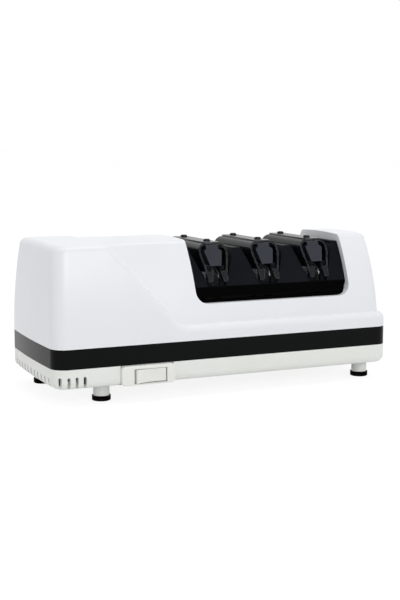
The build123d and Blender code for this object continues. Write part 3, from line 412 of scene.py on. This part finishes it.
def gritted_disc(name):
    """Steel disc with a band of bonded diamond near its rim and a bare turned middle."""
    material, w, shader = start_material(name)
    cut = use(w, TURNED, Ring_Scale=2200.0, Shine=0.26)
    grit = use(w, GRIT, Scale=4200.0, Share=0.55)
    on_rim = w.spread(cut["Radius"], GRIT_FROM, GRIT_FROM + GRIT_FADE)
    bare_tone = w.spread(w.noise(w.place(), 140.0, 4.0), 0.35, 0.7)
    bare = w.mix(bare_tone, colour(208, 210, 212), colour(168, 170, 172))
    bond_tone = w.spread(w.noise(w.place(), 260.0, 4.0), 0.3, 0.7)
    bond = w.mix(bond_tone, colour(142, 144, 146), colour(176, 178, 180))
    bond = w.mix(grit["Sparkle"], bond, colour(246, 246, 248))
    w.put(shader.inputs["Base Color"], w.mix(on_rim, bare, bond))
    rough = w.add("Mix", data_type="FLOAT")
    w.put(rough.inputs[0], on_rim)
    w.put(rough.inputs[2], cut["Roughness"])
    w.put(rough.inputs[3], grit["Roughness"])
    w.put(shader.inputs["Roughness"], rough.outputs[0])
    shader.inputs["Metallic"].default_value = 1.0
    crystals = w.sum_of("MULTIPLY", grit["Height"], on_rim)
    height = w.sum_of("MULTIPLY_ADD", crystals, 2.0, w.sum_of("MULTIPLY", cut["Height"], 0.3))
    relief(w, shader, height, 0.5, 0.00004)
    return material


def layered_iron(name):
    """Stamped laminations seen edge on: thin bright and dark layers across X."""
    material, w, shader = start_material(name)
    parts = w.add("SeparateXYZ")
    w.put(parts.inputs[0], w.place())
    layer = w.sum_of("FRACT", w.sum_of("MULTIPLY", parts.outputs["X"], SHEETS_PER_METRE))
    gap = w.spread(w.sum_of("ABSOLUTE", w.sum_of("SUBTRACT", layer, 0.5)), 0.34, 0.48)
    rust = w.spread(w.noise(w.place(), 90.0, 6.0, 0.7), 0.5, 0.8)
    shade = w.mix(rust, colour(128, 128, 130), colour(112, 92, 78))
    w.put(shader.inputs["Base Color"], w.mix(gap, shade, colour(46, 44, 42)))
    w.put(shader.inputs["Roughness"], w.sum_of("MULTIPLY_ADD", rust, 0.25, 0.38))
    w.put(shader.inputs["Metallic"], w.sum_of("SUBTRACT", 0.9, w.sum_of("MULTIPLY", rust, 0.5)))
    relief(w, shader, w.sum_of("SUBTRACT", 1.0, gap), 0.6, 0.00008)
    return material


def wound_copper(name):
    """Enamelled copper wire: fine strands with a lacquer gloss."""
    material, w, shader = start_material(name)
    tone = w.spread(w.noise(w.place(), 220.0, 4.0), 0.3, 0.7)
    w.put(shader.inputs["Base Color"], w.mix(tone, colour(186, 96, 48), colour(128, 58, 28)))
    w.put(shader.inputs["Roughness"], w.sum_of("MULTIPLY_ADD", tone, 0.15, 0.24))
    shader.inputs["Metallic"].default_value = 0.9
    shader.inputs["Coat Weight"].default_value = 0.6
    relief(w, shader, w.noise(w.place(), 1800.0, 2.0), 0.3, 0.00005)
    return material


def rubber(name):
    """Black rubber foot: matt, with a faint bloom and grime near the floor."""
    material, w, shader = start_material(name)
    skin = use(
        w, SKIN, Colour=colour(2, 2, 2), Drift_Colour=colour(5, 5, 5), Drift=0.6,
        Grain_Scale=1400.0, Gloss=0.62, Gloss_Spread=0.12,
    )
    film = use(w, DUST, Amount=0.12, Low=0.003, Patch_Scale=240.0)["Mask"]
    w.put(shader.inputs["Base Color"], w.mix(film, skin["Colour"], colour(92, 89, 84)))
    w.put(shader.inputs["Roughness"], skin["Roughness"])
    shader.inputs["Specular IOR Level"].default_value = 0.015
    relief(w, shader, skin["Height"], 0.3, 0.00008)
    return material


def well_plastic(name):
    """Black liner: polished below the channel's shelf, where its near-black colour is a painted shade; satin
    and slate on the wedges above it.
    """
    material, w, shader = start_material(name)
    low = use(
        w, SKIN, Colour=colour(1, 1, 1), Drift_Colour=colour(3, 3, 3), Drift=0.5,
        Gloss=0.14, Gloss_Spread=0.04,
    )
    high = use(
        w, SKIN, Colour=colour(20, 22, 26), Drift_Colour=colour(29, 31, 36), Drift=0.7,
        Gloss=0.36, Gloss_Spread=0.10,
    )
    parts = w.add("SeparateXYZ")
    w.put(parts.inputs[0], w.place())
    # Painted shade: below the shelf the colour drops to near-black to stand in for shade in the recess; only
    # the change in gloss is real.
    above = w.spread(parts.outputs["Z"], SHELF_Z - SHELF_BLUR, SHELF_Z + SHELF_BLUR)
    edge_mask = use(w, EDGE_WEAR_AND_HIGHLIGHT, Reach=0.0004, Strength=0.35)["Mask"]
    shade = w.mix(above, low["Colour"], high["Colour"])
    w.put(shader.inputs["Base Color"], w.mix(edge_mask, shade, colour(60, 62, 66)))
    rough = w.add("Mix", data_type="FLOAT")
    w.put(rough.inputs[0], above)
    w.put(rough.inputs[2], low["Roughness"])
    w.put(rough.inputs[3], high["Roughness"])
    w.put(shader.inputs["Roughness"], rough.outputs[0])
    shader.inputs["Specular IOR Level"].default_value = 0.02
    relief(w, shader, high["Height"], 0.12, 0.00004)
    return material


def abrasive_pad(name):
    """Dressing pad: pink-brown sintered grit."""
    material, w, shader = start_material(name)
    grit = use(w, GRIT, Scale=3600.0, Share=0.4)
    tone = w.spread(w.noise(w.place(), 300.0, 4.0), 0.3, 0.7)
    shade = w.mix(tone, colour(150, 122, 104), colour(112, 88, 76))
    glint = w.sum_of("MULTIPLY", grit["Sparkle"], 0.5)
    w.put(shader.inputs["Base Color"], w.mix(glint, shade, colour(214, 204, 192)))
    w.put(shader.inputs["Roughness"], w.sum_of("MULTIPLY_ADD", grit["Roughness"], 0.5, 0.6, clamp=True))
    relief(w, shader, grit["Height"], 0.8, 0.00008)
    return material


WHITE = colour(232, 234, 238)
FINISHES = {
    # The housing's edge colour of 254 is a painted highlight along its rims and the well's edge.
    "housing_white": moulded_plastic(
        "glossy white housing with painted edge highlight", WHITE, colour(228, 230, 234), 0.30, depth=0.03, spread=0.012, dust=0.04,
        edge_wear_and_highlight_colour=colour(254, 254, 254), wear=0.8, reach=0.0011, specular=0.5,
    ),
    "base_white": moulded_plastic(
        "off-white base", colour(233, 235, 231), colour(226, 227, 222), 0.38, depth=0.06, dust=0.10,
        edge_wear_and_highlight_colour=colour(238, 239, 237), wear=0.15,
    ),
    "band_black": moulded_plastic(
        "polished black band", colour(9, 11, 10), colour(13, 15, 14), 0.13, grain=1800.0, depth=0.03,
        spread=0.05, edge_wear_and_highlight_colour=colour(60, 61, 60), wear=0.25, reach=0.0004, specular=0.07,
    ),
    "foot_rubber": rubber("black rubber"),
    "liner_black": well_plastic("black well liner with painted shade below the shelf"),
    "guide_grey": moulded_plastic(
        "charcoal guide block", colour(34, 39, 47), colour(44, 50, 59), 0.36, depth=0.25,
        edge_wear_and_highlight_colour=colour(96, 102, 110), wear=0.5, dust=0.06, specular=0.3,
    ),
    # The light grey edge colour on the flexible guides is a painted highlight along the arch rims.
    "guide_black": moulded_plastic(
        "flexible black guide with painted edge highlight", colour(10, 12, 15), colour(17, 19, 23), 0.26, depth=0.15,
        edge_wear_and_highlight_colour=colour(118, 122, 128), wear=0.9, reach=0.0005, dust=0.03, specular=0.22,
    ),
    "plate_black": moulded_plastic(
        "black guide plate", colour(30, 32, 34), colour(40, 42, 45), 0.28, depth=0.2,
        edge_wear_and_highlight_colour=colour(150, 154, 160), wear=0.8, dust=0.1,
    ),
    "screw_black": moulded_plastic(
        "blackened screw", colour(8, 8, 9), colour(15, 15, 16), 0.26, depth=0.1,
        edge_wear_and_highlight_colour=colour(90, 92, 94), wear=0.4, specular=0.2,
    ),
    "bright_steel": turned_steel("bright steel", colour(206, 208, 210), colour(172, 174, 176), 0.24),
    "hub_plastic": moulded_plastic(
        "grey hub", colour(96, 98, 100), colour(84, 86, 88), 0.42, depth=0.3,
        edge_wear_and_highlight_colour=colour(140, 142, 144), wear=0.3,
    ),
    "disc_steel": gritted_disc("diamond-coated disc"),
    "motor_steel": layered_iron("motor laminations"),
    "coil_copper": wound_copper("enamelled copper"),
    "bush_bronze": turned_steel("sintered bronze", colour(176, 132, 82), colour(140, 102, 62), 0.42),
    "switch_black": moulded_plastic(
        "black switch body", colour(24, 24, 25), colour(32, 32, 34), 0.4, depth=0.3,
        edge_wear_and_highlight_colour=colour(80, 80, 82), wear=0.3,
    ),
    "lever_plastic": moulded_plastic(
        "grey nylon", colour(150, 152, 152), colour(138, 140, 139), 0.45, depth=0.3,
        edge_wear_and_highlight_colour=colour(178, 179, 178), wear=0.3, dust=0.08,
    ),
    "switch_white": moulded_plastic(
        "white switch plate", colour(236, 237, 232), colour(230, 231, 226), 0.26, depth=0.03,
        edge_wear_and_highlight_colour=colour(242, 242, 240), wear=0.2, dust=0.05,
    ),
    "pad_abrasive": abrasive_pad("sintered grit pad"),
    "magnet_dark": turned_steel("dark magnet", colour(66, 66, 68), colour(50, 50, 52), 0.4),
}


def dress_nodes():
    """Every solid keeps its shape and takes the finish named by its material slot."""
    for title in ("switch_bezel", "switch_rocker"):
        NODES[title].material_slots[0].material = FINISHES["switch_white"]
    for node in NODES.values():
        for place in node.material_slots:
            title = place.material.name.split(".")[0]
            place.material = FINISHES.get(title, place.material)


dress_nodes()


# ---------------------------------------------------------------- ground bands on the discs

STAGE_X = [-0.0045, 0.0352, 0.0749]
SHAFT_AT = (-0.010, 0.0565)
DISC_RADIUS = 0.0275
BAND_FROM, BAND_TO = 0.0053, 0.0072
BAND_RISE = 0.00012
BAND_ROOT = 0.0002
BAND_STEPS = 144
BAND_ROWS = 9


def ground_band(middle, side):
    """Closed ring round the shaft. X runs from one edge of the rim to the other and back. The radius is the
    disc's plus a half sine wave on the way out, and a little less than the disc's on the way back."""
    turn = np.linspace(0.0, 2 * math.pi, BAND_STEPS, endpoint=False)[:, None]
    along = np.linspace(0.0, 1.0, BAND_ROWS)
    reach = np.concatenate([along, along[::-1][1:-1]])[None, :]
    outward = np.concatenate([np.ones(BAND_ROWS), np.zeros(BAND_ROWS - 2)])[None, :]
    radius = DISC_RADIUS + outward * BAND_RISE * np.sin(math.pi * reach) - (1 - outward) * BAND_ROOT
    x = middle + side * (BAND_FROM + (BAND_TO - BAND_FROM) * reach) + 0 * turn
    y = SHAFT_AT[0] + radius * np.sin(turn)
    z = SHAFT_AT[1] + radius * np.cos(turn)
    points = np.stack([x, y, z], -1)
    return points[::-1] if side > 0 else points


GROUND_STEEL = turned_steel(
    "ground bright steel", colour(250, 250, 250), colour(232, 233, 235), shine=0.20, rings=5200.0,
)
for number, middle in enumerate(STAGE_X, 1):
    for title, side in (("left", -1), ("right", 1)):
        name = f"disc_band_{number}_{title}"
        ring = grid_mesh(name, ground_band(middle, side), wrap_u=True, wrap_v=True)
        band = place_mesh(name, ring, GROUND_STEEL)
        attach(band, f"disc_{number}_{title}")


# ---------------------------------------------------------------- studio

FLOOR_REACH = 30.0
BOX_CENTRE = (0.0, 0.0, 0.05)


def studio_floor():
    """A wide pale floor that keeps the shadow: part lit, part plain white where it is seen."""
    material = bpy.data.materials.new("pale floor")
    material.use_nodes = True
    tree = material.node_tree
    tree.nodes.clear()
    w = Wiring(tree)
    lit = w.add("BsdfDiffuse")
    plain = w.add("Emission")
    path = w.add("LightPath")
    seen = w.sum_of("MAXIMUM", path.outputs["Is Camera Ray"], path.outputs["Is Transmission Ray"])
    seen = w.sum_of("MAXIMUM", seen, path.outputs["Is Glossy Ray"])
    w.put(lit.inputs["Color"], w.mix(seen, (0.86, 0.86, 0.86, 1.0), (0.20, 0.20, 0.20, 1.0)))
    w.put(plain.inputs["Strength"], w.sum_of("MULTIPLY", seen, 0.86))
    both = w.add("AddShader")
    tree.links.new(lit.outputs[0], both.inputs[0])
    tree.links.new(plain.outputs[0], both.inputs[1])
    out = w.add("OutputMaterial")
    tree.links.new(both.outputs[0], out.inputs[0])
    near, far = -FLOOR_REACH, FLOOR_REACH
    corners = np.array([[[near, near, 0], [near, far, 0]], [[far, near, 0], [far, far, 0]]])
    floor = place_mesh("studio_floor", grid_mesh("studio_floor", corners), material, smooth=False)


def studio_world():
    """Plain white round the camera; what lights the object is softer in front than above and behind."""
    world = bpy.data.worlds.new("studio")
    bpy.context.scene.world = world
    world.use_nodes = True
    tree = world.node_tree
    tree.nodes.clear()
    w = Wiring(tree)
    parts = w.add("SeparateXYZ")
    w.put(parts.inputs[0], w.add("TexCoord").outputs["Generated"])
    behind = w.spread(parts.outputs["Y"], -0.9, 0.4, 0.35, 0.85)
    path = w.add("LightPath")
    level = w.add("Mix", data_type="FLOAT")
    seen = w.sum_of("ADD", path.outputs["Is Camera Ray"], path.outputs["Is Glossy Ray"])
    w.put(level.inputs[0], w.sum_of("ADD", seen, path.outputs["Is Transmission Ray"], clamp=True))
    w.put(level.inputs[2], behind)
    level.inputs[3].default_value = 1.0
    back = w.add("Background")
    back.inputs["Color"].default_value = (1.0, 1.0, 1.0, 1.0)
    w.put(back.inputs["Strength"], level.outputs[0])
    out = w.add("OutputWorld")
    tree.links.new(back.outputs[0], out.inputs[0])


def studio_light():
    soft_lamp("overhead_soft_box", (0.10, -0.10, 1.20), BOX_CENTRE, 0.9, 0.6, 3.4)
    soft_lamp("front_soft_box", (-0.05, -1.30, 0.62), BOX_CENTRE, 0.9, 0.6, 6.3)


set_camera()
studio_floor()
studio_world()
studio_light()
bpy.context.scene.view_settings.view_transform = "Standard"
